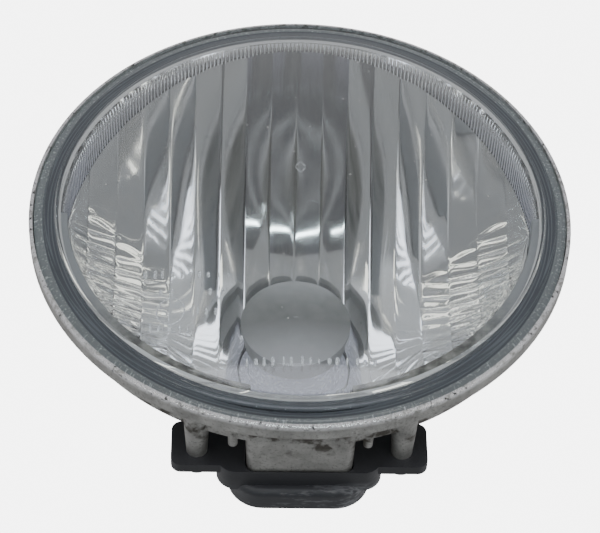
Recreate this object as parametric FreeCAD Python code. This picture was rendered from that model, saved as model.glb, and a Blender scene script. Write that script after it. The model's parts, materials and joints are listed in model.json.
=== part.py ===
import FreeCAD, Part
import math
import os

# Fog light with a round glass lens, millimetres.
# The parts are drawn in the lamp's own frame: X to the right as seen from the front, Y backwards along
# the optical axis from the front rim, Z up. Each part is then moved so that the origin is the middle of
# the two mounting bosses' faces.

Vec = FreeCAD.Vector
AXIS = Vec(0, 1, 0)

# Driving sizes
RIM_R = 70.2                 # outer radius of the cast rim
RIM_FRONT = -0.8             # front edge of the cast rim
RIM_BACK = 5.0               # back of the rim's side wall
BAND_R = 65.7                # round band behind the rim
BAND_BACK = 13.4
CHANNEL_R = 69.2             # outer wall of the lens channel
CHANNEL_FLOOR = 3.4
OPENING_R = 61.0             # clear opening inside the reflector's side wall
SPLIT_Y = 23.6               # plane where the rear cover meets the posts
REFLECTOR_DEPTH = 70.0       # vertex of the mirror behind the rim
FOCAL_X4 = 67.7              # four times the focal length across
FOCAL_Z4 = 56.4              # four times the focal length up and down
STRIP_PITCH = 7.0
STRIP_COUNT_SIDE = 8         # full strips each side of the centre line
STRIP_BULGE = 0.32
MIRROR_WALL = 2.0
LEDGE_Y = 3.0                # flat crescent ledge along the lower half of the opening
LEDGE_R = 60.0
LEDGE_SHIFT = 4.0            # the ledge's inner edge is a circle this far above the axis
NOTCH_HALF = 12.0            # half width of the notch in the ledge
DOME_HEIGHT = 16.5           # lens apex in front of the rim plane
LENS_WALL = 3.6
LENS_EDGE_R = 68.9
LENS_INNER_R = 62.5          # inside of the lens foot, where the sealant starts
LENS_BACK = 1.6
FLANGE_R = 66.5              # the reflector's flange in the sealant
FLANGE_FRONT = 2.2
BOX_BOTTOM = -65.5           # underside of the cast box
BOX_HALF_FRONT = 13.9
BOX_HALF_BACK = 12.9
BOX_BACK = 33.0
BOX_WALL = 2.0
BOX_CORNER = 2.4
POST_X = 25.7
POST_Z = -59.0
UPPER_POST_X = 14.0
UPPER_POST_Z = 60.5
NUB_X = 16.7                 # two short ejector nubs beside the box
NUB_Z = -62.9
MOUNT_X = 38.5
MOUNT_Y = 36.0
MOUNT_Z = 50.5
MOUNT_BOSS_R = 5.0
MOUNT_HOLE_R = 2.5
MOUNT_HOLE_DEPTH = 16.0
INSERT_R = 3.2
COLLAR_HALF = 18.0
COLLAR_BOTTOM = -68.5
COLLAR_FRONT = 29.0
COLLAR_BACK = 35.6
COLLAR_CORNER = 9.0
COLLAR_EDGE = 1.8            # rounding of the collar's front edge
WEB_HALF = 20.8              # stepped webs beside the collar
WEB_BOTTOM = -66.0
WEB_BACK = 31.0
COVER_PLATE = 3.0
NECK_R = 21.0
NECK_BACK = 84.0
NECK_FRONT = 74.8
NECK_BORE = 14.3
FIT_GAP = 0.3                # clearance between parts that move or slide together
HOLE_R = 15.6                # hole in the mirror's centre
CAP_R = 15.0
CAP_FRONT = 43.0
CAP_EDGE = 46.0
HOOD_R = 13.0
HOOD_WALL = 1.2
HOOD_FRONT = 48.4
HOOD_BACK = 67.0
TAB_COUNT = 3
TAB_R = 16.6
TAB_ANGLE = 26.0
CAPSULE_R = 5.6
CAPSULE_FRONT = 49.6
FILAMENT_Y = 55.0
SCREW_HOLE_R = 1.7           # pilot holes in the posts
SCREW_HOLE_DEPTH = 12.0
COVER_HOLE_R = 2.3           # clearance holes in the cover
SHELL_OUTSIDE = 77.4         # vertex depths of the cast shell's two oval bowls
SHELL_INSIDE = 74.4
COVER_OUTSIDE = 77.8         # vertex depths of the rear cover's two oval bowls
COVER_INSIDE = 75.6
COVER_PLATE_R = 60.3
FAR = 80.0                   # past the part's end, for cutting right through


def turned(start, *steps):
    """Solid of revolution about the Y axis. A step is a point (radius, y) or an arc (middle, end)."""
    edges = []
    here = start
    for step in steps + (start,):
        if isinstance(step[0], tuple):
            middle, end = step
            arc = Part.Arc(at(here), at(middle), at(end))
            edges.append(arc.toShape())
            here = end
        else:
            if step != here:
                edges.append(Part.makeLine(at(here), at(step)))
            here = step
    face = Part.Face(Part.Wire(edges))
    return face.revolve(Vec(0, 0, 0), AXIS, 360)


def at(point):
    return Vec(point[0], point[1], 0)


def rod(x, z, radius, y0, y1, radius_back=None):
    """Round or tapered pin along Y."""
    if radius_back is None:
        return Part.makeCylinder(radius, y1 - y0, Vec(x, y0, z), AXIS)
    return Part.makeCone(radius, radius_back, y1 - y0, Vec(x, y0, z), AXIS)


def tube(radius_out, radius_in, y0, y1):
    return rod(0, 0, radius_out, y0, y1).cut(rod(0, 0, radius_in, y0 - 1, y1 + 1))


def block(x0, x1, y0, y1, z0, z1):
    return Part.makeBox(x1 - x0, y1 - y0, z1 - z0, Vec(x0, y0, z0))


def rounded_block(x0, x1, y0, y1, z0, z1, radius):
    """Block whose edges along Y are rounded."""
    solid = block(x0, x1, y0, y1, z0, z1)
    along_y = []
    for edge in solid.Edges:
        direction = edge.Vertexes[1].Point - edge.Vertexes[0].Point
        if abs(direction.y) > 0.99 * (y1 - y0):
            along_y.append(edge)
    return solid.makeFillet(radius, along_y)


def spun(solid, degrees):
    turned_copy = solid.copy()
    turned_copy.rotate(Vec(0, 0, 0), AXIS, degrees)
    return turned_copy


def joined(solids):
    whole = solids[0].multiFuse(solids[1:])
    return whole.removeSplitter()


def flattened(solid):
    """Squeezes a round solid in Z to the mirror's own oval."""
    matrix = FreeCAD.Matrix()
    matrix.scale(Vec(1, 1, math.sqrt(FOCAL_Z4 / FOCAL_X4)))
    return solid.transformGeometry(matrix)


def bowl(vertex, y0, y1):
    """Oval paraboloid that opens forwards, between two planes across the axis."""
    r0 = math.sqrt(FOCAL_X4 * (vertex - y0))
    r1 = math.sqrt(FOCAL_X4 * (vertex - y1))
    middle_y = 0.5 * (y0 + y1)
    r_middle = math.sqrt(FOCAL_X4 * (vertex - middle_y))
    return flattened(turned((0, y0), (r0, y0), ((r_middle, middle_y), (r1, y1)), (0, y1)))


def lens():
    """Domed glass with a stepped rim and an even wall."""
    dome_r = 62.6
    dome_edge_y = -4.0
    half_r = 34.0
    rim_steps = [(66.4, -1.0), (66.1, -2.3), (63.4, -2.9), (63.1, -3.9)]
    rise = DOME_HEIGHT + dome_edge_y
    radius = (dome_r ** 2 + rise ** 2) / (2 * rise)
    centre_y = radius - DOME_HEIGHT
    inner_radius = radius - LENS_WALL
    foot = 1.2
    inner_edge_r = LENS_INNER_R - foot
    outer_half_y = centre_y - math.sqrt(radius ** 2 - half_r ** 2)
    inner_half_y = centre_y - math.sqrt(inner_radius ** 2 - half_r ** 2)
    inner_edge_y = centre_y - math.sqrt(inner_radius ** 2 - inner_edge_r ** 2)
    return turned(
        (0, -DOME_HEIGHT), (0, -DOME_HEIGHT + LENS_WALL),
        ((half_r, inner_half_y), (inner_edge_r, inner_edge_y)), (LENS_INNER_R, inner_edge_y + foot),
        (LENS_INNER_R, LENS_BACK), (LENS_EDGE_R, LENS_BACK), (LENS_EDGE_R, -0.2),
        (LENS_EDGE_R - 0.5, -0.7), *rim_steps, (dome_r, dome_edge_y),
        ((half_r, outer_half_y), (0, -DOME_HEIGHT)))


def lens_sealant():
    """Flat ring under the lens foot, stepped round the reflector's flange."""
    outer = CHANNEL_R - 0.1
    step_r = FLANGE_R + FIT_GAP
    return turned((LENS_INNER_R, LENS_BACK), (outer, LENS_BACK), (outer, CHANNEL_FLOOR),
                  (step_r, CHANNEL_FLOOR), (step_r, FLANGE_FRONT), (LENS_INNER_R, FLANGE_FRONT))


def mirror_region(offset):
    """Everything in front of the mirror surface: one patch for each strip, pushed forwards."""
    edges = [STRIP_PITCH * k for k in range(-STRIP_COUNT_SIDE, STRIP_COUNT_SIDE + 1)]
    side = OPENING_R + 4.0
    edges = [-side] + edges + [side]
    z_low = -side
    z_high = side
    z_poles = [z_low, 0.5 * (z_low + z_high), z_high]
    z_depths = [-z_low ** 2 / FOCAL_Z4, -z_low * z_high / FOCAL_Z4, -z_high ** 2 / FOCAL_Z4]
    solids = []
    for x0, x1 in zip(edges[:-1], edges[1:]):
        d0 = -x0 ** 2 / FOCAL_X4
        d1 = -x1 ** 2 / FOCAL_X4
        x_poles = [x0, 0.5 * (x0 + x1), x1]
        x_depths = [d0, 0.5 * (d0 + d1) - 2 * STRIP_BULGE, d1]
        patch = Part.BezierSurface()
        patch.increase(2, 2)
        for i in range(3):
            for j in range(3):
                y = REFLECTOR_DEPTH + offset + x_depths[i] + z_depths[j]
                patch.setPole(i + 1, j + 1, Vec(x_poles[i], y, z_poles[j]))
        solids.append(patch.toShape().extrude(Vec(0, -2 * FAR, 0)))
    return joined(solids)


def reflector():
    """Mirror with vertical strips, its side wall, front flange, lower ledge and centre hole."""
    wall_r = OPENING_R + 1.2
    front = 0.9
    body = mirror_region(MIRROR_WALL).common(rod(0, 0, wall_r, front, FAR))
    body = body.fuse(rod(0, 0, wall_r, front, CHANNEL_FLOOR + 1.0))
    body = body.fuse(rod(0, 0, FLANGE_R, FLANGE_FRONT, CHANNEL_FLOOR))
    cavity = mirror_region(0).common(rod(0, 0, OPENING_R, 0, FAR))
    cavity = cavity.common(rod(0, LEDGE_SHIFT, LEDGE_R, 0, FAR))
    body = body.cut(cavity)
    body = body.cut(rod(0, 0, OPENING_R, 0, LEDGE_Y))
    body = body.cut(block(-NOTCH_HALF, NOTCH_HALF, 1.0, 16.0, -60.0, -52.0))
    body = body.fuse(notch_plate())
    return body.cut(rod(0, 0, HOLE_R, FAR / 2, FAR)).removeSplitter()


def notch_plate():
    """Sloping plate that closes the notch from behind."""
    half = NOTCH_HALF + 0.6
    thick = 1.4
    foot_y = 4.6
    foot_z = -60.6
    head_y = 14.0
    head_z = -51.4
    outline = [Vec(-half, foot_y, foot_z), Vec(-half, foot_y + thick, foot_z),
               Vec(-half, head_y + thick, head_z), Vec(-half, head_y, head_z)]
    return Part.Face(Part.makePolygon(outline + [outline[0]])).extrude(Vec(2 * half, 0, 0))


def box_solid(grow):
    """The box under the housing, narrower at the back. grow moves its sides outwards."""
    front = BOX_HALF_FRONT + grow
    back = BOX_HALF_BACK + grow
    y0 = 5.5
    outline = [Vec(-front, y0, 0), Vec(front, y0, 0), Vec(back, BOX_BACK, 0), Vec(-back, BOX_BACK, 0)]
    face = Part.Face(Part.makePolygon(outline + [outline[0]]))
    solid = face.extrude(Vec(0, 0, 20))
    solid.translate(Vec(0, 0, BOX_BOTTOM - grow))
    lower = []
    for edge in solid.Edges:
        middle = edge.CenterOfMass
        if abs(middle.z - BOX_BOTTOM + grow) < 0.01 and abs(middle.x) > 0.9 * back:
            lower.append(edge)
    return solid.makeFillet(BOX_CORNER, lower)


def housing():
    """Die-cast shell: rim and channel, oval bowl, box, four posts and two mounting bosses."""
    wall_front = 6.0
    rim = turned((0, RIM_FRONT), (RIM_R - 0.4, RIM_FRONT), (RIM_R, RIM_FRONT + 0.4), (RIM_R, RIM_BACK - 1.0),
                 (RIM_R - 1.0, RIM_BACK), (BAND_R + 0.8, RIM_BACK + 0.8), (BAND_R, RIM_BACK + 1.6),
                 (BAND_R, BAND_BACK - 0.8), (BAND_R - 0.8, BAND_BACK), (0, BAND_BACK))
    shell = bowl(SHELL_OUTSIDE, wall_front, SPLIT_Y - 0.8).common(rod(0, 0, BAND_R, wall_front, SPLIT_Y))
    boss_parts = []
    for side in (-1, 1):
        boss_parts.append(rod(side * POST_X, POST_Z, 3.6, 5.0, SPLIT_Y, 2.65))
        boss_parts.append(rod(side * UPPER_POST_X, UPPER_POST_Z, 3.9, 5.0, SPLIT_Y, 3.2))
        boss_parts.append(rod(side * MOUNT_X, MOUNT_Z, MOUNT_BOSS_R + 0.6, 5.0, MOUNT_Y, MOUNT_BOSS_R))
        boss_parts.append(rod(side * NUB_X, NUB_Z, 1.5, 5.0, 15.6, 1.2))
    box = box_solid(0).common(block(-FAR, FAR, 0, BOX_BACK, BOX_BOTTOM, -54.2))
    body = rim.multiFuse([shell, box] + boss_parts)
    body = body.cut(rod(0, 0, CHANNEL_R, RIM_FRONT - 1, CHANNEL_FLOOR))
    inner_r = OPENING_R + 2.2
    body = body.cut(rod(0, 0, inner_r, 0, wall_front + 1.0))
    inside_front = wall_front - 0.2
    inside = bowl(SHELL_INSIDE, inside_front, SPLIT_Y + 1.0)
    inside = inside.common(rod(0, 0, inner_r, inside_front, SPLIT_Y + 1.0))
    body = body.cut(inside)
    inside_half = BOX_HALF_BACK - BOX_WALL
    inside_bottom = BOX_BOTTOM + BOX_WALL
    body = body.cut(rounded_block(-inside_half, inside_half, 7.5, BOX_BACK + 1, inside_bottom, -48.0, 1.0))
    for side in (-1, 1):
        body = body.cut(rod(side * MOUNT_X, MOUNT_Z, INSERT_R, MOUNT_Y - MOUNT_HOLE_DEPTH, MOUNT_Y + 1))
    for x, z in screw_places():
        body = body.cut(rod(x, z, SCREW_HOLE_R, SPLIT_Y - SCREW_HOLE_DEPTH, SPLIT_Y + 1))
    return body.removeSplitter()


def thread_inserts():
    """Steel sleeves in the two mounting bosses, flush with the bosses' faces."""
    sleeves = []
    for side in (-1, 1):
        sleeve = rod(side * MOUNT_X, MOUNT_Z, INSERT_R, MOUNT_Y - MOUNT_HOLE_DEPTH + 1.0, MOUNT_Y)
        sleeves.append(sleeve.cut(rod(side * MOUNT_X, MOUNT_Z, MOUNT_HOLE_R, 0, MOUNT_Y + 1)))
    return Part.makeCompound(sleeves)


def cover_seal():
    """Thin oval ring between the shell's back edge and the cover's plate."""
    inner = COVER_PLATE_R - 1.5
    outer = COVER_PLATE_R - 0.2
    front = SPLIT_Y - 0.8
    return flattened(turned((inner, front), (outer, front), (outer, SPLIT_Y), (inner, SPLIT_Y)))


def ear(x, z_inner, z_outer, half):
    low = min(z_inner, z_outer)
    high = max(z_inner, z_outer)
    return rounded_block(x - half, x + half, SPLIT_Y, SPLIT_Y + COVER_PLATE, low, high, 2.6)


def rear_cover():
    """Black cover: oval bowl, screw ears, the collar round the box and the neck for the bulb."""
    plate_back = SPLIT_Y + COVER_PLATE
    plate_oval = flattened(turned((0, SPLIT_Y), (COVER_PLATE_R, SPLIT_Y), (COVER_PLATE_R, plate_back),
                                  (0, plate_back)))
    outer = bowl(COVER_OUTSIDE, SPLIT_Y + 1.0, 73.0)
    neck = rod(0, 0, NECK_R, 62.0, NECK_BACK)
    pieces = [plate_oval, outer, neck]
    for side in (-1, 1):
        pieces.append(ear(side * 23.2, -64.0, -50.4, 9.0))
        pieces.append(ear(side * UPPER_POST_X, 64.8, 44.0, 5.2))
        for angle in (32, 62, 90, 118, 148):
            pieces.append(cover_rib(side * angle))
    pieces.append(rounded_block(-WEB_HALF, WEB_HALF, SPLIT_Y, WEB_BACK, WEB_BOTTOM, -46.0, 5.0))
    collar = rounded_block(-COLLAR_HALF, COLLAR_HALF, COLLAR_FRONT, COLLAR_BACK,
                           COLLAR_BOTTOM, -36.0, COLLAR_CORNER)
    front_edges = []
    for edge in collar.Edges:
        if abs(edge.BoundBox.YMax - COLLAR_FRONT) < 0.01:
            front_edges.append(edge)
    collar = collar.makeFillet(COLLAR_EDGE, front_edges)
    pieces.append(collar.common(block(-FAR, FAR, 0, FAR, -FAR, -42.0)))
    body = pieces[0].multiFuse(pieces[1:])
    body = body.cut(bowl(COVER_INSIDE, SPLIT_Y - 1.0, 71.0))
    body = body.cut(rod(0, 0, TAB_R + 1.2, 66.0, NECK_FRONT))
    body = body.cut(rod(0, 0, NECK_BORE, 66.0, NECK_BACK + 1))
    for k in range(TAB_COUNT):
        body = body.cut(spun(tab_sector(TAB_R + 0.5, TAB_ANGLE + 6, NECK_FRONT - 1, NECK_BACK + 1), k * 120))
    body = body.cut(box_room())
    for x, z in screw_places():
        body = body.cut(rod(x, z, COVER_HOLE_R, SPLIT_Y - 1, SPLIT_Y + 10))
    return body.removeSplitter()


def cover_rib(angle):
    """Stiffening fin along the outside of the bowl."""
    fin = block(-0.9, 0.9, SPLIT_Y + 1.0, 70.0, 0, 60.0)
    fin = spun(fin, angle)
    return fin.common(bowl(80.0, SPLIT_Y + 1.0, 72.0)).cut(rod(0, 0, NECK_R - 3.0, 0, FAR))


def box_room():
    """Room inside the collar for the end of the cast box."""
    top = -53.6
    room = box_solid(FIT_GAP).common(block(-FAR, FAR, SPLIT_Y - 1, BOX_BACK, -FAR, top))
    return room.fuse(block(-BOX_HALF_BACK, BOX_HALF_BACK, BOX_BACK - 1, BOX_BACK + FIT_GAP,
                           BOX_BOTTOM + BOX_CORNER, top))


def tab_sector(radius, angle, y0, y1):
    """Wedge about the axis, used for the bayonet tabs and for the slots that let them in."""
    half = math.radians(angle / 2)
    reach = radius * 2
    outline = [Vec(0, y0, 0), Vec(-reach * math.sin(half), y0, reach * math.cos(half)),
               Vec(reach * math.sin(half), y0, reach * math.cos(half))]
    wedge = Part.Face(Part.makePolygon(outline + [outline[0]])).extrude(Vec(0, y1 - y0, 0))
    return wedge.common(rod(0, 0, radius, y0, y1))


def vent_filter():
    """Foam block in the cast box."""
    return block(-10.4, 10.4, 12.0, 30.0, -63.2, -57.0)


def cover_screws():
    """Four pan-head screws that enter from behind."""
    head_y = SPLIT_Y + COVER_PLATE + 0.8
    screws = []
    for x, z in screw_places():
        shank = rod(x, z, 1.65, SPLIT_Y - 11.0, head_y + 0.2)
        head = rod(x, z, 3.4, head_y, head_y + 2.4)
        head = head.makeFillet(0.8, [head.Edges[0]])
        slot = block(x - 0.5, x + 0.5, head_y + 1.0, head_y + 3, z - 2.2, z + 2.2)
        cross = block(x - 2.2, x + 2.2, head_y + 1.0, head_y + 3, z - 0.5, z + 0.5)
        screws.append(shank.fuse(head).cut(slot.fuse(cross)).removeSplitter())
    return Part.makeCompound(screws)


def cover_washers():
    """Four flat washers under the screw heads."""
    back = SPLIT_Y + COVER_PLATE
    washers = []
    for x, z in screw_places():
        washers.append(rod(x, z, 4.0, back, back + 0.8).cut(rod(x, z, 2.0, back - 1, back + 2)))
    return Part.makeCompound(washers)


def screw_places():
    lower = [(side * POST_X, POST_Z) for side in (-1, 1)]
    upper = [(side * UPPER_POST_X, UPPER_POST_Z) for side in (-1, 1)]
    return lower + upper


def dome_y(r, apex_y, edge_r, edge_y):
    """Depth at radius r of the sphere cap that runs from its apex to its edge."""
    rise = edge_y - apex_y
    radius = (edge_r ** 2 + rise ** 2) / (2 * rise)
    return apex_y + radius - math.sqrt(radius ** 2 - r ** 2)


def glare_cap():
    """Thin domed cap with a short skirt that grips the hood."""
    skirt_back = 53.0
    skirt_in = HOOD_R + 0.1
    skirt_out = HOOD_R + 1.0
    inner_apex = CAP_FRONT + 1.0
    inner_edge = CAP_EDGE + 1.2
    half_r = 7.5
    outer_half = (half_r, dome_y(half_r, CAP_FRONT, CAP_R, CAP_EDGE))
    inner_half = (half_r, dome_y(half_r, inner_apex, skirt_in, inner_edge))
    return turned(
        (0, CAP_FRONT), (0, inner_apex), (inner_half, (skirt_in, inner_edge)),
        (skirt_in, skirt_back), (skirt_out, skirt_back), (skirt_out, CAP_EDGE + 1.8),
        (CAP_R, CAP_EDGE + 1.2), (CAP_R, CAP_EDGE), (outer_half, (0, CAP_FRONT)))


def bulb_hood():
    """Glass tube round the bulb, with a foot that stands against the mirror's back."""
    return turned((HOOD_R, HOOD_FRONT), (HOOD_R, HOOD_BACK), (HOOD_R + 2.2, HOOD_BACK),
                  (HOOD_R + 2.2, HOOD_BACK + 1.8), (HOOD_R - HOOD_WALL, HOOD_BACK + 1.8),
                  (HOOD_R - HOOD_WALL, HOOD_FRONT))


def hood_retainer():
    """Conical spring ring behind the hood's foot, wider than the mirror's hole."""
    back = HOOD_BACK + 1.8
    inner_r = 13.4
    outer_r = 18.4
    thick = 0.8
    return turned((inner_r, back), (15.2, back), (outer_r, back - 1.0), (outer_r, back - 1.0 + thick),
                  (15.4, back + thick), (inner_r, back + thick))


def neck_seal():
    """Flat rubber ring on the neck's end, pressed by the bulb's disc."""
    inner = NECK_R - 3.0
    outer = NECK_R - 0.6
    back = NECK_BACK + 1.0
    return turned((inner, NECK_BACK), (outer, NECK_BACK), (outer, back), (inner, back))


def bulb_capsule():
    """Hollow glass capsule with a rounded tip."""
    tip = CAPSULE_FRONT + CAPSULE_R
    thick = 0.7
    diagonal = math.sqrt(0.5)
    inner_r = CAPSULE_R - thick
    return turned(
        (0, CAPSULE_FRONT), ((CAPSULE_R * diagonal, tip - CAPSULE_R * diagonal), (CAPSULE_R, tip)),
        (CAPSULE_R, 67.0), (inner_r, 67.0), (inner_r, tip),
        ((inner_r * diagonal, tip - inner_r * diagonal), (0, CAPSULE_FRONT + thick)))


def bulb_filament():
    """Coiled wire along the axis, at the mirror's focus."""
    length = 5.0
    coil = Part.makeHelix(0.55, length, 0.9)
    start = coil.Vertexes[0].Point
    profile = Part.Wire(Part.makeCircle(0.13, start, Vec(0, 1, 0)))
    wire = Part.Wire(coil).makePipeShell([profile], True, True)
    wire.rotate(Vec(0, 0, 0), Vec(1, 0, 0), -90)
    wire.translate(Vec(0, FILAMENT_Y - length / 2, 0))
    return wire


def filament_leads():
    """Two support wires from the collar to the filament's ends."""
    leads = []
    for side, y_end in ((-1, FILAMENT_Y + 2.9), (1, FILAMENT_Y - 3.3)):
        stem = rod(side * 2.4, 0, 0.3, y_end, 72.0)
        arm = Part.makeCylinder(0.3, 2.6, Vec(side * 2.6, y_end, 0), Vec(-side, 0, 0))
        leads.append(stem.fuse(arm).removeSplitter())
    return Part.makeCompound(leads)


def bulb_collar():
    """Metal collar that grips the glass."""
    body = turned((CAPSULE_R + 0.1, 64.6), (7.4, 64.6), (7.4, 70.0), (8.6, 71.0), (8.6, 73.0),
                  (0, 73.0), (0, 67.2), (CAPSULE_R + 0.1, 67.2))
    for side in (-1, 1):
        body = body.cut(rod(side * 2.4, 0, 0.35, 60, 74))
    return body


def bulb_flange():
    """Ring with three bayonet tabs."""
    ring = rod(0, 0, 12.6, 73.0, 74.4)
    tabs = [spun(tab_sector(TAB_R, TAB_ANGLE, 73.0, 74.4), 120 * k) for k in range(TAB_COUNT)]
    return ring.multiFuse(tabs).removeSplitter()


def bulb_body():
    """Plug in the neck, grip disc with wings, and the connector socket at the back."""
    disc_front = NECK_BACK + 1.0 + FIT_GAP
    plug = rod(0, 0, NECK_BORE - FIT_GAP, 74.4, disc_front + 0.5)
    disc = rod(0, 0, 20.6, disc_front, disc_front + 2.6)
    disc = disc.makeChamfer(0.5, [e for e in disc.Edges if e.Length > 100])
    socket = rounded_block(-10.5, 10.5, disc_front + 1.0, 104.0, -6.6, 6.6, 2.0)
    latch = block(-2.6, 2.6, 92.0, 96.0, 6.0, 8.0)
    parts = [plug, disc, socket, latch]
    for side in (-1, 1):
        wing = block(14.0, 19.4, disc_front + 1.0, 94.0, -1.6, 1.6)
        parts.append(spun(wing, 90 - side * 90))
    body = parts[0].multiFuse(parts[1:])
    room = rounded_block(-8.6, 8.6, 90.6, 105.0, -4.7, 4.7, 1.2)
    body = body.cut(room)
    for side in (-1, 1):
        body = body.cut(block(side * 4.6 - 1.45, side * 4.6 + 1.45, 86.0, 92.0, -0.45, 0.45))
    return body.removeSplitter()


def bulb_terminals():
    """Two flat blades in the socket."""
    blades = []
    for side in (-1, 1):
        blade = block(side * 4.6 - 1.4, side * 4.6 + 1.4, 86.6, 101.0, -0.4, 0.4)
        ends = [e for e in blade.Edges if abs(e.CenterOfMass.y - 101.0) < 0.01 and e.Length < 1.0]
        blades.append(blade.makeChamfer(0.5, ends))
    return Part.makeCompound(blades)


PARTS = {
    "housing": housing,
    "thread_inserts": thread_inserts,
    "lens": lens,
    "lens_sealant": lens_sealant,
    "reflector": reflector,
    "glare_cap": glare_cap,
    "bulb_hood": bulb_hood,
    "hood_retainer": hood_retainer,
    "rear_cover": rear_cover,
    "cover_seal": cover_seal,
    "cover_screws": cover_screws,
    "cover_washers": cover_washers,
    "vent_filter": vent_filter,
    "neck_seal": neck_seal,
    "bulb_capsule": bulb_capsule,
    "bulb_filament": bulb_filament,
    "filament_leads": filament_leads,
    "bulb_collar": bulb_collar,
    "bulb_flange": bulb_flange,
    "bulb_body": bulb_body,
    "bulb_terminals": bulb_terminals,
}

os.makedirs("parts", exist_ok=True)
for name, make in PARTS.items():
    shape = make()
    shape.translate(Vec(0, -MOUNT_Y, -MOUNT_Z))
    shape.exportStep("parts/" + name + ".step")
    print(name, "valid", shape.isValid(), "solids", len(shape.Solids), "volume", round(shape.Volume))
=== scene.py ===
import json
import math
import random

import bpy
from mathutils import Matrix, Vector


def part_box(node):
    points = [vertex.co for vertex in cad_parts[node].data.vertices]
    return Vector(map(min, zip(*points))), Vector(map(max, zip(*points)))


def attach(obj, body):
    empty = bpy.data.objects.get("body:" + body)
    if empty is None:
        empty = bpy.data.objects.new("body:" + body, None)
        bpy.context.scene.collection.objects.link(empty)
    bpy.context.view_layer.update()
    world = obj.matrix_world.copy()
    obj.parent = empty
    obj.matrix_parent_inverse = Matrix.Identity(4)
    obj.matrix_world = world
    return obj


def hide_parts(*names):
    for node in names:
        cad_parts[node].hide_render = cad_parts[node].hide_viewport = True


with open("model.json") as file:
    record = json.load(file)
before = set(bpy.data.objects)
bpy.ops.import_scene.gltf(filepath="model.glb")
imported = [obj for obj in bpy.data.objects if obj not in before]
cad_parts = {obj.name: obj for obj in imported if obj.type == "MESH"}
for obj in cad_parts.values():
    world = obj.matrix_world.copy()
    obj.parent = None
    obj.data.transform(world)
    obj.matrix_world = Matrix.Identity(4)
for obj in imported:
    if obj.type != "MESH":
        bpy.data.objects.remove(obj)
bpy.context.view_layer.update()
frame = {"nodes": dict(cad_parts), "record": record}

MM = 0.001
LENS_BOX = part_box("lens")
DOME_HEIGHT = 16.5
# The middle of the rim's plane, in the row frame. Shapes below are in millimetres from it:
# X to the right, Y backwards along the optical axis, Z up.
LAMP = Vector((0.0, LENS_BOX[0][1] + DOME_HEIGHT * MM, 0.5 * (LENS_BOX[0][2] + LENS_BOX[1][2])))


def world_point(x, y, z):
    return LAMP + Vector((x, y, z)) * MM


# ---------------------------------------------------------------- camera

CAMERA_AZIMUTH = math.radians(-2.0)
CAMERA_ELEVATION = math.radians(-41.95)
CAMERA_ROLL = math.radians(-0.55)
CAMERA_DISTANCE = 610.0
CAMERA_LENS = 141.0
AIM_RIGHT, AIM_UP = -0.1, -14.15        # millimetres from the rim's middle, across the view


def add_camera():
    data = bpy.data.cameras.new("camera")
    camera = bpy.data.objects.new("camera", data)
    bpy.context.collection.objects.link(camera)
    flat = math.cos(CAMERA_ELEVATION)
    towards = Vector((math.sin(CAMERA_AZIMUTH) * flat, -math.cos(CAMERA_AZIMUTH) * flat,
                      math.sin(CAMERA_ELEVATION)))
    level = Vector((math.cos(CAMERA_AZIMUTH), math.sin(CAMERA_AZIMUTH), 0.0))
    right = Matrix.Rotation(CAMERA_ROLL, 3, towards) @ level
    up = towards.cross(right)
    place = LAMP + towards * CAMERA_DISTANCE * MM
    aim = LAMP + (right * AIM_RIGHT + up * AIM_UP) * MM
    back = (place - aim).normalized()
    right = up.cross(back).normalized()
    up = back.cross(right)
    matrix = Matrix((right, up, back)).transposed().to_4x4()
    matrix.translation = place
    camera.matrix_world = matrix
    data.sensor_width = 36.0
    data.lens = CAMERA_LENS
    data.clip_start = 0.01
    bpy.context.scene.camera = camera


add_camera()

# ---------------------------------------------------------------- material helpers


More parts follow.
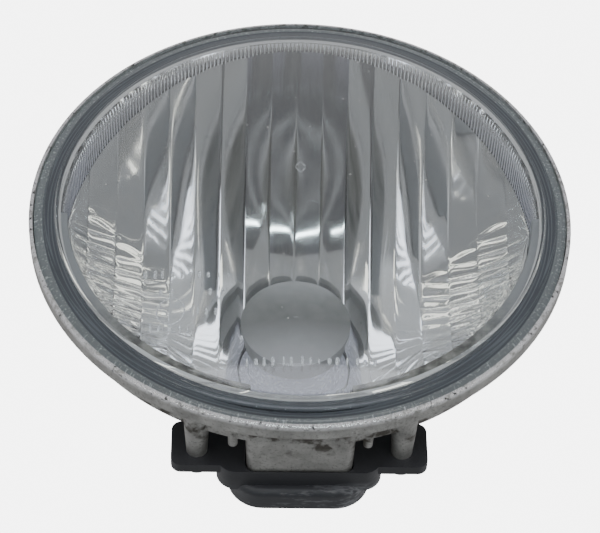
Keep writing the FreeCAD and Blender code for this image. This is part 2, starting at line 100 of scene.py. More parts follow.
class Paint:
    """A procedural material: a Principled shader and a few short ways to feed it."""

    def __init__(self, name, **sockets):
        self.material = bpy.data.materials.new(name)
        self.material.use_nodes = True
        self.tree = self.material.node_tree
        self.shader = self.tree.nodes["Principled BSDF"]
        self.output = self.tree.nodes["Material Output"]
        place = self.tree.nodes.new("ShaderNodeTexCoord")
        self.place = place.outputs["Object"]
        for key, value in sockets.items():
            self.shader.inputs[key.replace("_", " ")].default_value = value

    def add(self, kind, **settings):
        node = self.tree.nodes.new("ShaderNode" + kind)
        for key, value in settings.items():
            setattr(node, key, value)
        return node

    def feed(self, socket, source):
        if isinstance(source, (int, float, tuple)):
            socket.default_value = source
        else:
            self.tree.links.new(source, socket)

    def math(self, operation, a, b=0.0, c=0.0):
        node = self.add("Math", operation=operation)
        for socket, source in zip(node.inputs, (a, b, c)):
            self.feed(socket, source)
        return node.outputs[0]

    def times(self, a, b):
        return self.math("MULTIPLY", a, b)

    def noise(self, size_mm, detail=3.0, rough=0.55, stretch=None, seed=0.0):
        """Noise from 0 to 1 with features of about this size."""
        source = self.place
        if stretch or seed:
            mapping = self.add("Mapping")
            mapping.inputs["Scale"].default_value = stretch or (1, 1, 1)
            mapping.inputs["Location"].default_value = (seed, seed * 0.7, -seed)
            self.feed(mapping.inputs["Vector"], source)
            source = mapping.outputs[0]
        node = self.add("TexNoise")
        node.inputs["Scale"].default_value = 1.0 / (size_mm * MM)
        node.inputs["Detail"].default_value = detail
        node.inputs["Roughness"].default_value = rough
        self.feed(node.inputs["Vector"], source)
        return node.outputs["Fac"]

    def cells(self, size_mm):
        """Distance to the nearest of many scattered points about this far apart."""
        node = self.add("TexVoronoi")
        node.inputs["Scale"].default_value = 1.0 / (size_mm * MM)
        self.feed(node.inputs["Vector"], self.place)
        return node.outputs["Distance"]

    def ramp(self, source, low, high, a=0.0, b=1.0):
        """Maps low..high onto a..b and holds the ends."""
        node = self.add("MapRange")
        for socket, value in zip(node.inputs, (source, low, high, a, b)):
            self.feed(socket, value)
        return node.outputs[0]

    def mix(self, factor, a, b):
        node = self.add("Mix", data_type="RGBA")
        self.feed(node.inputs["Factor"], factor)
        self.feed(node.inputs["A"], a if not isinstance(a, tuple) else (*a, 1.0))
        self.feed(node.inputs["B"], b if not isinstance(b, tuple) else (*b, 1.0))
        return node.outputs["Result"]

    def radius(self):
        """Distance from the lamp's axis, depth behind the rim, and x and z, in millimetres."""
        parts = self.add("SeparateXYZ")
        self.feed(parts.inputs[0], self.place)
        x = self.math("MULTIPLY", parts.outputs[0], 1.0 / MM)
        z = self.math("MULTIPLY_ADD", parts.outputs[2], 1.0 / MM, -LAMP.z / MM)
        y = self.math("MULTIPLY_ADD", parts.outputs[1], 1.0 / MM, -LAMP.y / MM)
        r = self.math("SQRT", self.math("ADD", self.times(x, x), self.times(z, z)))
        return r, y, x, z

    def colour(self, source):
        self.feed(self.shader.inputs["Base Color"], source)

    def rough(self, source):
        self.feed(self.shader.inputs["Roughness"], source)

    def bump(self, height, distance_mm, strength=1.0):
        """Adds a bump on top of the bumps fed in so far."""
        node = self.add("Bump")
        node.inputs["Strength"].default_value = strength
        node.inputs["Distance"].default_value = distance_mm * MM
        self.feed(node.inputs["Height"], height)
        if self.shader.inputs["Normal"].is_linked:
            self.feed(node.inputs["Normal"], self.shader.inputs["Normal"].links[0].from_socket)
        self.feed(self.shader.inputs["Normal"], node.outputs[0])

    def pass_shadows(self, tint):
        """Lets the lights through the glass: shadow rays see a faint tint instead of a solid."""
        path = self.add("LightPath")
        clear = self.add("BsdfTransparent")
        clear.inputs["Color"].default_value = (*tint, 1.0)
        chooser = self.add("MixShader")
        self.feed(chooser.inputs[0], path.outputs["Is Shadow Ray"])
        self.feed(chooser.inputs[1], self.shader.outputs[0])
        self.feed(chooser.inputs[2], clear.outputs[0])
        self.feed(self.output.inputs["Surface"], chooser.outputs[0])


# ---------------------------------------------------------------- mesh helpers

def piece(name, points, faces, paint, body="lamp", smooth=True, sharp_degrees=35.0):
    """One visible piece, from points in millimetres about the rim's middle."""
    mesh = bpy.data.meshes.new(name)
    mesh.from_pydata([world_point(*p) for p in points], [], faces)
    mesh.materials.append(paint.material)
    for polygon in mesh.polygons:
        polygon.use_smooth = smooth
    if smooth:
        mesh.set_sharp_from_angle(angle=math.radians(sharp_degrees))
    mesh.update()
    obj = bpy.data.objects.new(name, mesh)
    bpy.context.collection.objects.link(obj)
    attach(obj, body)
    return obj


def grid_faces(rows, columns, start=0, closed=False, flip=False):
    """Quads between the points of a grid. A closed grid joins its last column to its first."""
    faces = []
    for i in range(rows - 1):
        for j in range(columns if closed else columns - 1):
            a = start + i * columns + j
            b = start + i * columns + (j + 1) % columns
            c = start + (i + 1) * columns + (j + 1) % columns
            d = start + (i + 1) * columns + j
            faces.append((a, d, c, b) if flip else (a, b, c, d))
    return faces


def lathe(profile, around=256, closed=True):
    """Points and faces of a profile of (radius, y) turned about the lamp's axis."""
    points = []
    for radius, y in profile:
        for k in range(around):
            angle = 2 * math.pi * k / around
            points.append((radius * math.sin(angle), y, radius * math.cos(angle)))
    faces = grid_faces(len(profile), around, closed=True)
    if closed:
        last = (len(profile) - 1) * around
        for k in range(around):
            n = (k + 1) % around
            faces.append((last + k, last + n, n, k))
    return points, faces


def arc_profile(centre_y, radius, r0, r1, steps):
    """Points of a sphere cap centred on the axis behind the glass, from r0 to r1."""
    profile = []
    for k in range(steps + 1):
        r = r0 + (r1 - r0) * k / steps
        profile.append((r, centre_y - math.sqrt(radius ** 2 - r ** 2)))
    return profile


# ---------------------------------------------------------------- glass

DOME_R = 62.6
DOME_EDGE = -4.0
LENS_WALL = 3.6
LENS_INSIDE_R = 61.3                    # where the inner dome turns into the foot
LENS_RISE = DOME_HEIGHT + DOME_EDGE
SPHERE_R = (DOME_R ** 2 + LENS_RISE ** 2) / (2 * LENS_RISE)
SPHERE_Y = SPHERE_R - DOME_HEIGHT
PINHOLE_R = 0.02                        # the dome's profile stops this close to the axis


def dome_depth(r):
    return SPHERE_Y - math.sqrt(SPHERE_R ** 2 - r ** 2)


def paint_lens_glass():
    paint = Paint("lens_glass", Base_Color=(0.95, 0.97, 0.975, 1), Roughness=0.0, IOR=1.5)
    paint.shader.inputs["Transmission Weight"].default_value = 1.0
    paint.pass_shadows((0.86, 0.9, 0.91))
    return paint


def make_lens():
    """Dome of even thickness. Its rim steps down to a flat foot in the sealant."""
    outer = arc_profile(SPHERE_Y, SPHERE_R, PINHOLE_R, DOME_R, 60)
    inner = arc_profile(SPHERE_Y, SPHERE_R - LENS_WALL, PINHOLE_R, LENS_INSIDE_R, 60)
    corner_y = inner[-1][1]
    steps = [(62.95, -3.9), (63.25, -3.4), (63.45, -2.95), (63.9, -2.8), (65.5, -2.55), (66.0, -2.35),
             (66.3, -1.9), (66.4, -1.3), (66.7, -1.0), (67.6, -0.85), (68.3, -0.7), (68.7, -0.45)]
    foot = [(68.9, 0.0), (68.9, 1.45), (68.75, 1.6), (62.6, 1.6), (62.5, 1.5)]
    corner = [(62.5, corner_y + 1.5), (62.2, corner_y + 0.5), (61.9, corner_y + 0.15)]
    profile = outer + steps + foot + corner + inner[::-1]
    points, faces = lathe(profile, 288, closed=False)
    obj = piece("lens_dome", points, faces, paint_lens_glass())
    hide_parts("lens")


make_lens()

# ---------------------------------------------------------------- mirror

REFLECTOR_DEPTH = 70.0
FOCAL_X4, FOCAL_Z4 = 67.7, 56.4
OPENING_R = 61.0
MIRROR_OUTER_R = 62.1
HOLE_R = 15.6
LEDGE_Y, LEDGE_R, LEDGE_SHIFT = 3.0, 60.0, 4.0
NOTCH_HALF = 12.0
NOTCH_BOTTOM = 60.0

STRIP_PITCH = 7.0
STRIPS_PER_SIDE = 9
STRIP_TILT = 0.35                       # depth from one edge of a strip to the other, at most
STRIP_SHARES = (0, 0.03, 0.06, 0.15, 0.27, 0.4, 0.5, 0.6, 0.73, 0.85, 0.94, 0.97, 1)
MIDDLE_STRIPS = 26.0                    # strips nearer the axis than this are flatter
SEAM_DEPTH = 0.045

FLUTED_FROM = 37.0                      # strips further out than this have cross flutes
FLUTE_TOP, FLUTE_BOTTOM = 17.0, -34.0
FLUTE_PITCH = 3.4
FLUTE_SLOPE = 0.65
FLUTE_DEPTH = 0.3


def paint_mirror_coat():
    paint = Paint("mirror_coat", Base_Color=(0.9, 0.91, 0.93, 1), Metallic=1.0, Roughness=0.06)
    haze = paint.noise(9.0, detail=4.0, rough=0.6)
    specks = paint.ramp(paint.noise(0.7, detail=2.0), 0.66, 0.74)
    clean = paint.mix(haze, (0.9, 0.92, 0.95), (0.95, 0.94, 0.92))
    paint.colour(paint.mix(specks, clean, (0.7, 0.71, 0.72)))
    paint.rough(paint.ramp(haze, 0.3, 0.75, 0.035, 0.085))
    return paint


def paint_ledge():
    """Stained at the bottom, clean grey at the sides."""
    paint = Paint("ledge_cast", Base_Color=(0.4, 0.39, 0.35, 1), Metallic=0.4, Roughness=0.5)
    z = paint.radius()[3]
    stain = paint.ramp(paint.noise(3.2, detail=5.0), 0.38, 0.62)
    stained = paint.mix(stain, (0.09, 0.087, 0.077), (0.34, 0.335, 0.3))
    paint.colour(paint.mix(paint.ramp(z, -44.0, -24.0), stained, (0.36, 0.37, 0.38)))
    paint.bump(paint.noise(0.9, detail=4.0), 0.2, 0.5)
    return paint


def paint_notch():
    paint = Paint("notch_coat", Base_Color=(0.6, 0.6, 0.7, 1), Metallic=0.7, Roughness=0.28)
    paint.colour(paint.mix(paint.noise(2.5, detail=4.0), (0.42, 0.42, 0.52), (0.72, 0.72, 0.84)))
    paint.rough(paint.ramp(paint.noise(1.5), 0.3, 0.7, 0.2, 0.4))
    return paint


mirror_coat = paint_mirror_coat()
ledge_cast = paint_ledge()
notch_coat = paint_notch()


def opening_top(x):
    return math.sqrt(max(OPENING_R ** 2 - x * x, 0.0))


def opening_bottom(x):
    """Lower end of the mirror at x, where the crescent ledge starts."""
    round_part = -opening_top(x)
    if abs(x) < LEDGE_R:
        return max(round_part, LEDGE_SHIFT - math.sqrt(LEDGE_R ** 2 - x * x))
    return min(LEDGE_SHIFT, opening_top(x)) * 0.5


def mirror_depth(x, z):
    """Depth of the plain parabola."""
    return REFLECTOR_DEPTH - x * x / FOCAL_X4 - z * z / FOCAL_Z4


def strip_depth(x0, x1, share, z, bulge, tilt):
    """Depth on a strip: a straight chord across the parabola, bulged and tilted, with sunk seams."""
    chord = x0 * x0 + (x1 * x1 - x0 * x0) * share
    seam = SEAM_DEPTH * max(0.0, 1 - min(share, 1 - share) / 0.05)
    bulged = bulge * 4 * share * (1 - share)
    return REFLECTOR_DEPTH + seam - chord / FOCAL_X4 - z * z / FOCAL_Z4 - bulged + tilt * (share - 0.5)


def flute_lift(x, z, middle_x):
    """Height of the sloping convex flutes, which fade out above and below."""
    slope = -FLUTE_SLOPE if middle_x > 0 else FLUTE_SLOPE
    phase = (z - slope * (x - middle_x)) / FLUTE_PITCH
    phase -= math.floor(phase)
    fade = min(1.0, (z - FLUTE_BOTTOM) / 20, (FLUTE_TOP - z) / 2)
    return FLUTE_DEPTH * 4 * phase * (1 - phase) * fade


def strip_flatness(outer):
    """Share of the random bulge that a strip this far out keeps."""
    if outer < MIDDLE_STRIPS:
        return 0.5
    return 0.15 if outer > FLUTED_FROM else 1.0


def make_mirror():
    """Vertical strips. Those that meet the centre hole are made of a part above it and one below."""
    random.seed(23)
    points, faces = [], []
    up_steps = 150
    limit = OPENING_R - 0.02
    for k in range(-STRIPS_PER_SIDE, STRIPS_PER_SIDE):
        x0 = max(k * STRIP_PITCH, -limit)
        x1 = min((k + 1) * STRIP_PITCH, limit)
        outer = abs(x0 + x1) * 0.5
        bulge = random.uniform(0.1, 0.2) * strip_flatness(outer)
        tilt = (STRIP_TILT if k % 2 else -STRIP_TILT) * random.uniform(0.5, 1.0)
        near_hole = min(abs(x0), abs(x1)) < HOLE_R
        for part in (("above", "below") if near_hole else ("whole",)):
            start = len(points)
            for share in STRIP_SHARES:
                x = x0 + (x1 - x0) * share
                low, high = opening_bottom(x), opening_top(x)
                hole_edge = math.sqrt(max(HOLE_R ** 2 - x * x, 0.0))
                if part == "above":
                    low = hole_edge
                if part == "below":
                    high = -hole_edge
                for j in range(up_steps + 1):
                    z = low + (high - low) * j / up_steps
                    y = strip_depth(x0, x1, share, z, bulge, tilt)
                    if outer > FLUTED_FROM and FLUTE_BOTTOM < z < FLUTE_TOP:
                        y -= flute_lift(x, z, (x0 + x1) / 2)
                    points.append((x, y, z))
            faces += grid_faces(len(STRIP_SHARES), up_steps + 1, start, flip=True)
    return piece("mirror_strips", points, faces, mirror_coat, sharp_degrees=22.0)


def make_rib_wall():
    """Fine ribs along the axis on the side wall."""
    points = []
    ribs, per_rib, rows = 350, 6, 9
    rib_height = 0.32
    front = 1.0
    columns = ribs * per_rib
    for j in range(rows):
        t = j / (rows - 1)
        for k in range(columns):
            angle = 2 * math.pi * k / columns
            sx, sz = math.sin(angle), math.cos(angle)
            u = (k % per_rib) / per_rib
            back = max(mirror_depth(OPENING_R * sx, OPENING_R * sz) + 0.3, LEDGE_Y + 0.4)
            y = front + (back - front) * t
            lift = rib_height * (1 - (2 * u - 1) ** 2) * min(1.0, t * 3)
            r = OPENING_R + 0.25 - lift
            points.append((r * sx, y, r * sz))
    faces = grid_faces(rows, columns, closed=True)
    piece("ribbed_wall", points, faces, mirror_coat, sharp_degrees=50.0)


def make_ledge():
    """The flat crescent ledge round the lower half, with room for the notch."""
    inner, outer = [], []
    steps = 240
    outer_r = OPENING_R + 0.2
    for k in range(steps + 1):
        angle = math.radians(90 + 180 * k / steps)
        sx, sz = math.sin(angle), math.cos(angle)
        shift = LEDGE_SHIFT * sz
        r = min(shift + math.sqrt(shift ** 2 + LEDGE_R ** 2 - LEDGE_SHIFT ** 2), OPENING_R)
        if abs(r * sx) < NOTCH_HALF and sz < 0:
            r = min(NOTCH_BOTTOM / abs(sz), OPENING_R - 0.1)
        inner.append((r * sx, r * sz))
        outer.append((outer_r * sx, LEDGE_Y, outer_r * sz))
    points = [(x, LEDGE_Y + 8.0, z) for x, z in inner]
    points += [(x, LEDGE_Y + 0.4, z) for x, z in inner]
    points += [(x * 1.003, LEDGE_Y, z * 1.003) for x, z in inner]
    points += outer
    piece("mirror_ledge", points, grid_faces(4, steps + 1), ledge_cast, sharp_degrees=50.0)


def make_flange():
    """Ring at the front of the mirror that stands in the sealant."""
    inner_r = OPENING_R + 0.2
    profile = [(inner_r, 0.95), (MIRROR_OUTER_R, 0.95), (62.2, 1.1), (62.2, 2.2), (66.5, 2.2), (66.5, 3.3),
               (inner_r, 3.3)]
    points, faces = lathe(profile)
    piece("mirror_flange", points, faces, mirror_coat, sharp_degrees=30.0)


def make_mirror_back():
    """The plain back of the moulded mirror, a little behind its face, and the edge of its hole."""
    rows, columns = 40, 128
    rings = []
    for j in range(rows):
        rings.append((HOLE_R + (MIRROR_OUTER_R - HOLE_R) * j / (rows - 1), 1.9))
    rings.append((HOLE_R, -0.3))
    points = []
    for r, behind in rings:
        for k in range(columns):
            angle = 2 * math.pi * k / columns
            x, z = r * math.sin(angle), r * math.cos(angle)
            points.append((x, mirror_depth(x, z) + behind, z))
    faces = grid_faces(rows, columns, closed=True, flip=True)
    last = rows * columns
    for k in range(columns):
        n = (k + 1) % columns
        faces.append((k, n, last + n, last + k))
    piece("mirror_back", points, faces, mirror_coat, sharp_degrees=40.0)


def make_notch():
    """Sloping plate in the notch, with straight grooves and arcs pressed into it, and its two sides."""
    across, along = 160, 60
    groove, depth, arcs_r = 1.25, 0.14, 7.5
    front_y, front_z = 4.6, -60.4
    points = []
    for j in range(along + 1):
        t = j / along
        for i in range(across + 1):
            x = (2 * i / across - 1) * NOTCH_HALF
            y, z = front_y + 9.4 * t, front_z + 9.2 * t
            from_centre = math.hypot(x - 1.0, (z + 62.0) * 1.3)
            along_wave = from_centre if from_centre < arcs_r else x
            wave = 0.5 + 0.5 * math.cos(2 * math.pi * along_wave / groove)
            points.append((x, y - depth * wave, z - depth * wave))
    faces = grid_faces(along + 1, across + 1)
    piece("notch_plate", points, faces, notch_coat, sharp_degrees=60.0)
    sides, side_faces = [], []
    for side in (-1, 1):
        start = len(sides)
        for y, z in ((LEDGE_Y, front_z), (LEDGE_Y, -55.0), (14.5, -51.0), (5.0, front_z)):
            sides.append((side * (NOTCH_HALF + 0.02), y, z))
        side_faces.append((start, start + 1, start + 2, start + 3))
    piece("notch_sides", sides, side_faces, ledge_cast, smooth=False)


strips = make_mirror()
make_notch()
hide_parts("reflector")
make_rib_wall()
make_ledge()
make_flange()
make_mirror_back()

# ---------------------------------------------------------------- details on the glass

# Rows of plain bars: x and z of both ends, how many bars, and their half length.
MARK_ROWS = (
    (-38.9, -29.9, -18.6, -32.3, 10, 1.25),
    (-35.2, -35.2, -32.4, -35.5, 2, 1.1),
    (-22.6, -36.4, -19.8, -36.7, 2, 1.1),
    (-27.6, -40.9, -21.2, -41.8, 4, 1.3),
    (-37.2, -44.3, -27.8, -45.9, 5, 1.4),
    (-13.8, -55.0, 17.6, -54.5, 15, 1.3),
)
RING_X, RING_Z, RING_R = -32.4, -40.6, 3.4
DIAMOND_X, DIAMOND_Z = -0.4, 0.6
DUST_COUNT = 60


def paint_moulded_mark():
    paint = Paint("moulded_mark", Base_Color=(0.9, 0.93, 0.95, 1), Roughness=0.12, IOR=1.5)
    paint.shader.inputs["Transmission Weight"].default_value = 0.75
    paint.rough(paint.ramp(paint.noise(0.5), 0.3, 0.7, 0.05, 0.35))
    paint.pass_shadows((0.9, 0.92, 0.93))
    return paint


def paint_dust():
    paint = Paint("dust", Base_Color=(0.75, 0.76, 0.74, 1), Roughness=0.8)
    paint.colour(paint.mix(paint.noise(0.4), (0.12, 0.12, 0.12), (0.9, 0.9, 0.88)))
    return paint


def raised_bars(name, bars, height, paint):
    """Low pillow-shaped bars on the dome. A bar is (x, z, half width, half length, tilt in degrees)."""
    points, faces = [], []
    around = 12
    rings = ((1.0, 0.04), (0.92, height * 0.6), (0.55, height))
    for x, z, half_w, half_l, tilt in bars:
        start = len(points)
        ct, st = math.cos(math.radians(tilt)), math.sin(math.radians(tilt))
        for scale, lift in rings:
            for k in range(around):
                angle = 2 * math.pi * k / around
                u = math.copysign(abs(math.cos(angle)) ** 0.7, math.cos(angle)) * half_w * scale
                v = math.copysign(abs(math.sin(angle)) ** 0.7, math.sin(angle)) * half_l * scale
                px, pz = x + u * ct - v * st, z + u * st + v * ct
                points.append((px, dome_depth(math.hypot(px, pz)) - lift, pz))
        faces += grid_faces(len(rings), around, start, closed=True)
        faces.append(tuple(range(start + around - 1, start - 1, -1)))
        faces.append(tuple(range(start + 2 * around, start + 3 * around)))
    piece(name, points, faces, paint, sharp_degrees=60.0)


def make_marks():
    """Plain moulded marks: uneven rows of short bars, a ring and a small diamond."""
    random.seed(5)
    bars = []
    for x0, z0, x1, z1, count, half_l in MARK_ROWS:
        for k in range(count):
            t = k / (count - 1)
            bars.append((x0 + (x1 - x0) * t + random.uniform(-0.25, 0.25), z0 + (z1 - z0) * t,
                         random.uniform(0.2, 0.5), half_l * random.uniform(0.55, 1.0), 0.0))
    for k in range(24):
        angle = 2 * math.pi * k / 24
        bars.append((RING_X + RING_R * math.cos(angle), RING_Z + RING_R * math.sin(angle), 0.26, 0.5,
                     math.degrees(angle)))
    for sx, sz, tilt in ((1, 1, 36), (-1, 1, -36), (1, -1, -36), (-1, -1, 36)):
        bars.append((DIAMOND_X + sx * 0.72, DIAMOND_Z + sz * 1.0, 0.12, 1.15, tilt))
    raised_bars("lens_marks", bars, 0.13, paint_moulded_mark())


def make_dust():
    random.seed(11)
    bars = []
    for _ in range(DUST_COUNT):
        r, angle = 60 * math.sqrt(random.random()), random.uniform(0, 2 * math.pi)
        size = random.uniform(0.08, 0.2)
        bars.append((r * math.cos(angle), r * math.sin(angle), size, size * random.uniform(0.8, 1.8),
                     random.uniform(0, 180)))
    raised_bars("lens_dust", bars, 0.1, paint_dust())


make_marks()
make_dust()

# ---------------------------------------------------------------- materials of the CAD nodes


def paint_cast_alloy():
    """Blotchy casting, stained towards the bottom, with a worn bright lip round the rim; at the bottom
    middle the lip's brightness is a painted highlight.
    """
    paint = Paint("cast_alloy", Base_Color=(0.5, 0.5, 0.49, 1), Metallic=0.8, Roughness=0.5)
    r, y, x, z = paint.radius()
    blotch = paint.noise(7.0, detail=6.0, rough=0.65)
    grit = paint.noise(0.8, detail=4.0, rough=0.7)
    tone = paint.mix(paint.ramp(blotch, 0.32, 0.68), (0.36, 0.355, 0.34), (0.62, 0.615, 0.59))
    tone = paint.mix(paint.ramp(grit, 0.55, 0.7), tone, (0.25, 0.24, 0.225))
    stains = paint.ramp(paint.noise(5.0, detail=5.0, seed=3.0), 0.5, 0.6)
    on_band = paint.times(paint.ramp(y, 5.5, 9.5), paint.ramp(y, 19.0, 14.0))
    downwards = paint.ramp(z, -15.0, -50.0, 0.25, 1.0)
    tone = paint.mix(paint.times(paint.times(stains, on_band), downwards), tone, (0.13, 0.12, 0.105))
    lip = paint.times(paint.ramp(r, 69.0, 69.3), paint.ramp(y, 1.2, -0.2))
    off_middle = paint.math("ABSOLUTE", paint.math("ADD", x, 2.0))
    # Painted highlight: the lip turns bare and bright more often at the bottom middle, where its edge
    # catches the light.
    bottom_middle_painted_highlight = paint.times(paint.ramp(off_middle, 24.0, 6.0, 0.0, 0.16), paint.ramp(z, -55.0, -62.0))
    scuff_and_highlight_bias = paint.math("ADD", paint.noise(2.2, detail=5.0, rough=0.75), bottom_middle_painted_highlight)
    wear_and_painted_highlight = paint.times(lip, paint.ramp(scuff_and_highlight_bias, 0.4, 0.5))
    # Pale bare metal on the lip: real wear in scattered patches, plus a painted highlight at the bottom
    # middle.
    tone = paint.mix(wear_and_painted_highlight, tone, (0.95, 0.95, 0.96))
    nicks = paint.times(lip, paint.ramp(paint.noise(1.6, detail=3.0, seed=8.0), 0.6, 0.66))
    paint.colour(paint.mix(nicks, tone, (0.08, 0.08, 0.08)))
    paint.rough(paint.math("SUBTRACT", paint.ramp(grit, 0.3, 0.7, 0.42, 0.62), paint.times(wear_and_painted_highlight, 0.25)))
    coarse = paint.times(paint.ramp(y, 1.0, 3.0), paint.ramp(y, 16.0, 12.0))
    lumps = paint.noise(2.6, detail=6.0, rough=0.7)
    pits = paint.ramp(paint.cells(2.3), 0.05, 0.22)
    paint.bump(paint.times(lumps, paint.ramp(coarse, 0, 1, 0.25, 1.0)), 0.9, 0.8)
    paint.bump(grit, 0.22, 0.55)
    paint.bump(paint.times(pits, paint.ramp(coarse, 0, 1, 0.1, 1.0)), 0.3, 0.5)
    return paint


def paint_black_plastic():
    """Satin black with fine grain, scraped pale under the collar."""
    paint = Paint("black_plastic", Base_Color=(0.03, 0.03, 0.034, 1), Roughness=0.5)
    _, y, x, z = paint.radius()
    patchy = paint.noise(6.0, detail=5.0)
    fibres = paint.noise(1.3, detail=4.0, stretch=(0.18, 1.0, 1.0), rough=0.7)
    collar = paint.times(paint.ramp(z, -61.0, -65.0), paint.ramp(y, 27.5, 30.0))
    scraped = paint.ramp(paint.math("MULTIPLY_ADD", x, 0.006, fibres), 0.53, 0.64)
    streaks = paint.times(scraped, collar)
    tone = paint.mix(patchy, (0.027, 0.028, 0.032), (0.046, 0.047, 0.053))
    tone = paint.mix(collar, tone, (0.05, 0.052, 0.058))
    paint.colour(paint.mix(paint.times(streaks, 0.55), tone, (0.26, 0.265, 0.28)))
    paint.rough(paint.ramp(patchy, 0.3, 0.7, 0.36, 0.55))
    paint.bump(paint.noise(0.45, detail=3.0), 0.09, 0.5)
    paint.bump(fibres, 0.12, 0.35)
    return paint


def paint_cap_grey():
    """Satin grey with painted shade: darker at the top and paler towards the bottom."""
    paint = Paint("cap_grey", Base_Color=(0.4, 0.4, 0.38, 1), Roughness=0.42, Metallic=0.35)
    z = paint.radius()[3]
    cloud = paint.noise(4.0, detail=4.0)
    # Painted shade: the dark grey stands for the cap's shaded top and the pale grey for its lit bottom;
    # the noise varies the tone and roughens the edge between them.
    painted_shaded_top = paint.mix(paint.ramp(cloud, 0.35, 0.65), (0.2, 0.205, 0.2), (0.25, 0.252, 0.245))
    painted_lit_bottom = paint.ramp(paint.math("MULTIPLY_ADD", cloud, 6.0, z), 2.0, -7.0)
    paint.colour(paint.mix(painted_lit_bottom, painted_shaded_top, (0.42, 0.42, 0.43)))
    paint.rough(paint.ramp(cloud, 0.3, 0.7, 0.34, 0.5))
    paint.bump(paint.noise(0.5, detail=2.0), 0.03, 0.4)
    return paint


def paint_sealant():
    """Dark inside with fine pale circles that are painted reflections of the glass's steps, a paler
    speckled band outside, and a black edge.
    """
    paint = Paint("sealant", Base_Color=(0.07, 0.08, 0.09, 1), Roughness=0.5)
    r = paint.radius()[0]
    # Painted reflection: the pale rings stand for light reflected by the glass's steps; the same wave also
    # makes fine ridges in the bump.
    ridges_and_painted_glints = paint.math("SINE", paint.times(r, 7.5))
    inner_band = paint.mix(paint.ramp(ridges_and_painted_glints, 0.2, 1.0, 0.0, 0.6), (0.07, 0.08, 0.094), (0.2, 0.22, 0.245))
    sparkle = paint.ramp(paint.noise(0.5, detail=3.0), 0.58, 0.68)
    outer_band = paint.mix(sparkle, (0.24, 0.26, 0.262), (0.7, 0.74, 0.74))
    tone = paint.mix(paint.ramp(r, 66.2, 66.5), inner_band, outer_band)
    paint.colour(paint.mix(paint.ramp(r, 68.5, 68.8), tone, (0.02, 0.02, 0.022)))
    paint.rough(paint.ramp(paint.noise(3.0), 0.3, 0.7, 0.3, 0.6))
    paint.bump(ridges_and_painted_glints, 0.05, 0.5)
    return paint


def paint_hood_glass():
    paint = Paint("hood_glass", Base_Color=(0.86, 0.86, 0.95, 1), Roughness=0.25, IOR=1.47)
    paint.shader.inputs["Transmission Weight"].default_value = 0.3
    paint.colour(paint.mix(paint.noise(3.0, detail=4.0), (0.78, 0.78, 0.9), (0.92, 0.92, 0.99)))
    paint.rough(paint.ramp(paint.noise(1.2), 0.3, 0.7, 0.18, 0.32))
    paint.pass_shadows((0.8, 0.8, 0.86))
    return paint


def paint_bulb_glass():
    paint = Paint("bulb_glass", Base_Color=(0.98, 0.98, 0.98, 1), Roughness=0.0, IOR=1.47)
    paint.shader.inputs["Transmission Weight"].default_value = 1.0
    paint.rough(paint.ramp(paint.noise(5.0, detail=4.0), 0.5, 0.75, 0.0, 0.05))
    paint.pass_shadows((0.95, 0.95, 0.95))
    return paint


def steel(name, colour, rough, grain_mm=0.5):
    """Bare or plated metal with patchy wear and a fine grain."""
    paint = Paint(name, Base_Color=(*colour, 1), Metallic=1.0, Roughness=rough)
    wear = paint.noise(grain_mm * 5, detail=5.0)
    dull = tuple(c * 0.72 for c in colour)
    bright = tuple(min(1.0, c * 1.15) for c in colour)
    paint.colour(paint.mix(wear, dull, bright))
    paint.rough(paint.ramp(wear, 0.3, 0.7, rough * 0.75, min(1.0, rough * 1.35)))
    paint.bump(paint.noise(grain_mm, detail=3.0), 0.03, 0.5)
    return paint


def soft_black(name, colour, grain_mm, depth_mm):
    """Rubber, foam or rough plastic with a pale bloom in patches."""
    paint = Paint(name, Base_Color=(*colour, 1), Roughness=0.7)
    bloom = paint.noise(grain_mm * 8, detail=5.0)
    paint.colour(paint.mix(bloom, tuple(c * 0.7 for c in colour), tuple(c * 1.6 for c in colour)))
    paint.rough(paint.ramp(bloom, 0.3, 0.7, 0.55, 0.85))
    paint.bump(paint.noise(grain_mm, detail=4.0), depth_mm, 0.7)
    return paint


PAINTS = {
    "cast_alloy": paint_cast_alloy(),
    "black_plastic": paint_black_plastic(),
    "cap_grey": paint_cap_grey(),
    "insert_steel": steel("insert_steel", (0.66, 0.64, 0.6), 0.3),
    "screw_steel": steel("screw_steel", (0.62, 0.63, 0.6), 0.28),
    "spring_steel": steel("spring_steel", (0.6, 0.6, 0.6), 0.22),
    "collar_steel": steel("collar_steel", (0.68, 0.68, 0.67), 0.25),
    "tungsten": steel("tungsten", (0.35, 0.34, 0.34), 0.4, 0.1),
    "lead_wire": steel("lead_wire", (0.62, 0.61, 0.58), 0.3, 0.1),
    "terminal_brass": steel("terminal_brass", (0.78, 0.7, 0.48), 0.27, 0.3),
    "hood_glass": paint_hood_glass(),
    "bulb_glass": paint_bulb_glass(),
    "sealant": paint_sealant(),
    "seal_rubber": soft_black("seal_rubber", (0.025, 0.025, 0.025), 0.5, 0.06),
    "filter_foam": soft_black("filter_foam", (0.06, 0.06, 0.06), 1.1, 0.7),
    "bulb_plastic": soft_black("bulb_plastic", (0.05, 0.048, 0.045), 0.35, 0.05),
}
for row in frame["record"]["subparts"]:
    if row["material_slot"] in PAINTS:
        node = frame["nodes"][row["node"]]
        node.data.materials.clear()
        node.data.materials.append(PAINTS[row["material_slot"]].material)

# ---------------------------------------------------------------- studio, in metres

FLOOR_DROP = 0.85                       # below the rim's middle
FLOOR_HALF = 6.0
FLAG_DROP = 0.8
BACKDROP_STRENGTH = 6.0
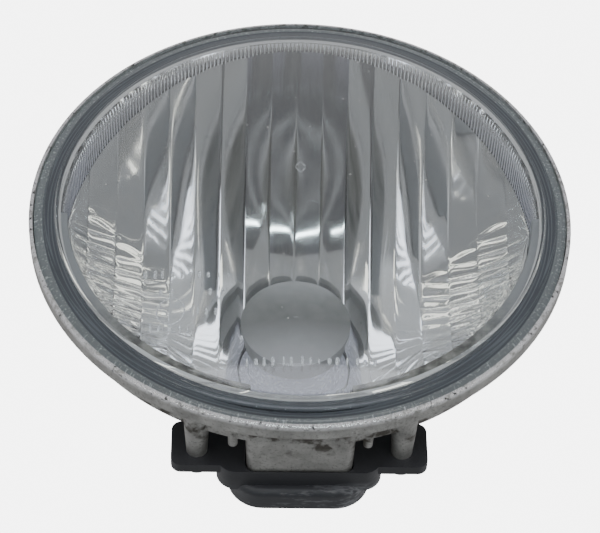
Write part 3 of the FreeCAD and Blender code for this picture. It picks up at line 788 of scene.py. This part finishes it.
# What everything but the camera sees, from straight down to straight up: (height, colour).
SKY_STOPS = ((0.0, (0.27, 0.275, 0.28)), (0.25, (0.3, 0.305, 0.31)), (0.3, (0.62, 0.63, 0.65)),
             (0.5, (0.55, 0.55, 0.56)), (0.75, (0.48, 0.48, 0.49)), (1.0, (0.55, 0.55, 0.56)))


def studio_card(name, x0, x1, y0, y1, z, paint):
    mesh = bpy.data.meshes.new(name)
    mesh.from_pydata([(x0, y0, z), (x1, y0, z), (x1, y1, z), (x0, y1, z)], [], [(0, 1, 2, 3)])
    mesh.materials.append(paint.material)
    obj = bpy.data.objects.new(name, mesh)
    bpy.context.collection.objects.link(obj)
    return obj


def make_floor():
    """Pale paper that only the camera sees, so that it takes no part in the mirror's tones."""
    paint = Paint("floor_paper", Base_Color=(0.8, 0.8, 0.8, 1), Roughness=0.9, Emission_Strength=3.6)
    paint.shader.inputs["Emission Color"].default_value = (1, 1, 1, 1)
    paint.colour(paint.mix(paint.noise(60.0), (0.78, 0.78, 0.78), (0.84, 0.84, 0.83)))
    floor = studio_card("studio_floor", -FLOOR_HALF, FLOOR_HALF, -FLOOR_HALF, FLOOR_HALF,
                        LAMP.z - FLOOR_DROP, paint)
    floor.visible_glossy = False
    floor.visible_transmission = False
    floor.visible_diffuse = False


def dark_flag():
    """A dark card under the lamp, seen only in reflections, as a photographer would hold one."""
    paint = Paint("flag_cloth", Base_Color=(0.1, 0.1, 0.105, 1), Roughness=0.9)
    flag = studio_card("studio_flag", -0.36, 0.36, -0.6, 0.25, LAMP.z - FLAG_DROP, paint)
    flag.visible_camera = False


def soft_box(name, direction, distance, width, height, strength, colour):
    """A rectangular light, in metres, that faces the lamp from this direction."""
    data = bpy.data.lights.new(name, "AREA")
    data.shape = "RECTANGLE"
    data.size, data.size_y = width, height
    data.energy = strength * width * height
    data.color = colour
    light = bpy.data.objects.new(name, data)
    towards = Vector(direction).normalized()
    light.location = LAMP + towards * distance
    light.rotation_mode = "QUATERNION"
    light.rotation_quaternion = towards.to_track_quat("Z", "Y")
    bpy.context.collection.objects.link(light)
    light.visible_camera = False


def make_world():
    """Plain grey studio: a bright ground for the camera, soft steps of grey for everything else."""
    world = bpy.data.worlds.new("studio")
    bpy.context.scene.world = world
    world.use_nodes = True
    tree = world.node_tree
    backdrop = tree.nodes["Background"]
    backdrop.inputs["Color"].default_value = (1, 1, 1, 1)
    backdrop.inputs["Strength"].default_value = BACKDROP_STRENGTH
    place = tree.nodes.new("ShaderNodeTexCoord")
    parts = tree.nodes.new("ShaderNodeSeparateXYZ")
    tree.links.new(place.outputs["Generated"], parts.inputs[0])
    height = tree.nodes.new("ShaderNodeMath")
    height.operation = "MULTIPLY_ADD"
    height.inputs[1].default_value = 0.5
    height.inputs[2].default_value = 0.5
    tree.links.new(parts.outputs[2], height.inputs[0])
    band = tree.nodes.new("ShaderNodeValToRGB")
    elements = band.color_ramp.elements
    while len(elements) < len(SKY_STOPS):
        elements.new(0.5)
    for element, (at, colour) in zip(elements, SKY_STOPS):
        element.position = at
        element.color = (*colour, 1.0)
    tree.links.new(height.outputs[0], band.inputs[0])
    ambient = tree.nodes.new("ShaderNodeBackground")
    tree.links.new(band.outputs[0], ambient.inputs["Color"])
    path = tree.nodes.new("ShaderNodeLightPath")
    chooser = tree.nodes.new("ShaderNodeMixShader")
    tree.links.new(path.outputs["Is Camera Ray"], chooser.inputs[0])
    tree.links.new(ambient.outputs[0], chooser.inputs[1])
    tree.links.new(backdrop.outputs[0], chooser.inputs[2])
    tree.links.new(chooser.outputs[0], tree.nodes["World Output"].inputs["Surface"])


make_floor()
make_world()
dark_flag()
COOL, CREAM, PALE_BLUE = (0.86, 0.98, 1.0), (1.0, 0.96, 0.84), (0.9, 0.92, 1.0)
DEEP_CREAM = (1.0, 0.95, 0.82)
soft_box("tube_low", (0.03, -0.47, -0.88), 0.8, 0.55, 0.013, 90.0, COOL)
soft_box("side_left", (-0.6, -0.63, -0.48), 1.3, 0.2, 0.3, 7.0, CREAM)
soft_box("side_right", (0.58, -0.63, -0.5), 1.3, 0.26, 0.34, 7.0, CREAM)
soft_box("cream_left", (-0.38, -0.82, -0.43), 1.3, 0.2, 0.15, 9.0, DEEP_CREAM)
soft_box("cream_right", (0.4, -0.82, -0.42), 1.3, 0.16, 0.15, 8.0, DEEP_CREAM)
soft_box("front_low", (0.0, -0.96, -0.2), 1.4, 1.2, 0.4, 9.0, PALE_BLUE)
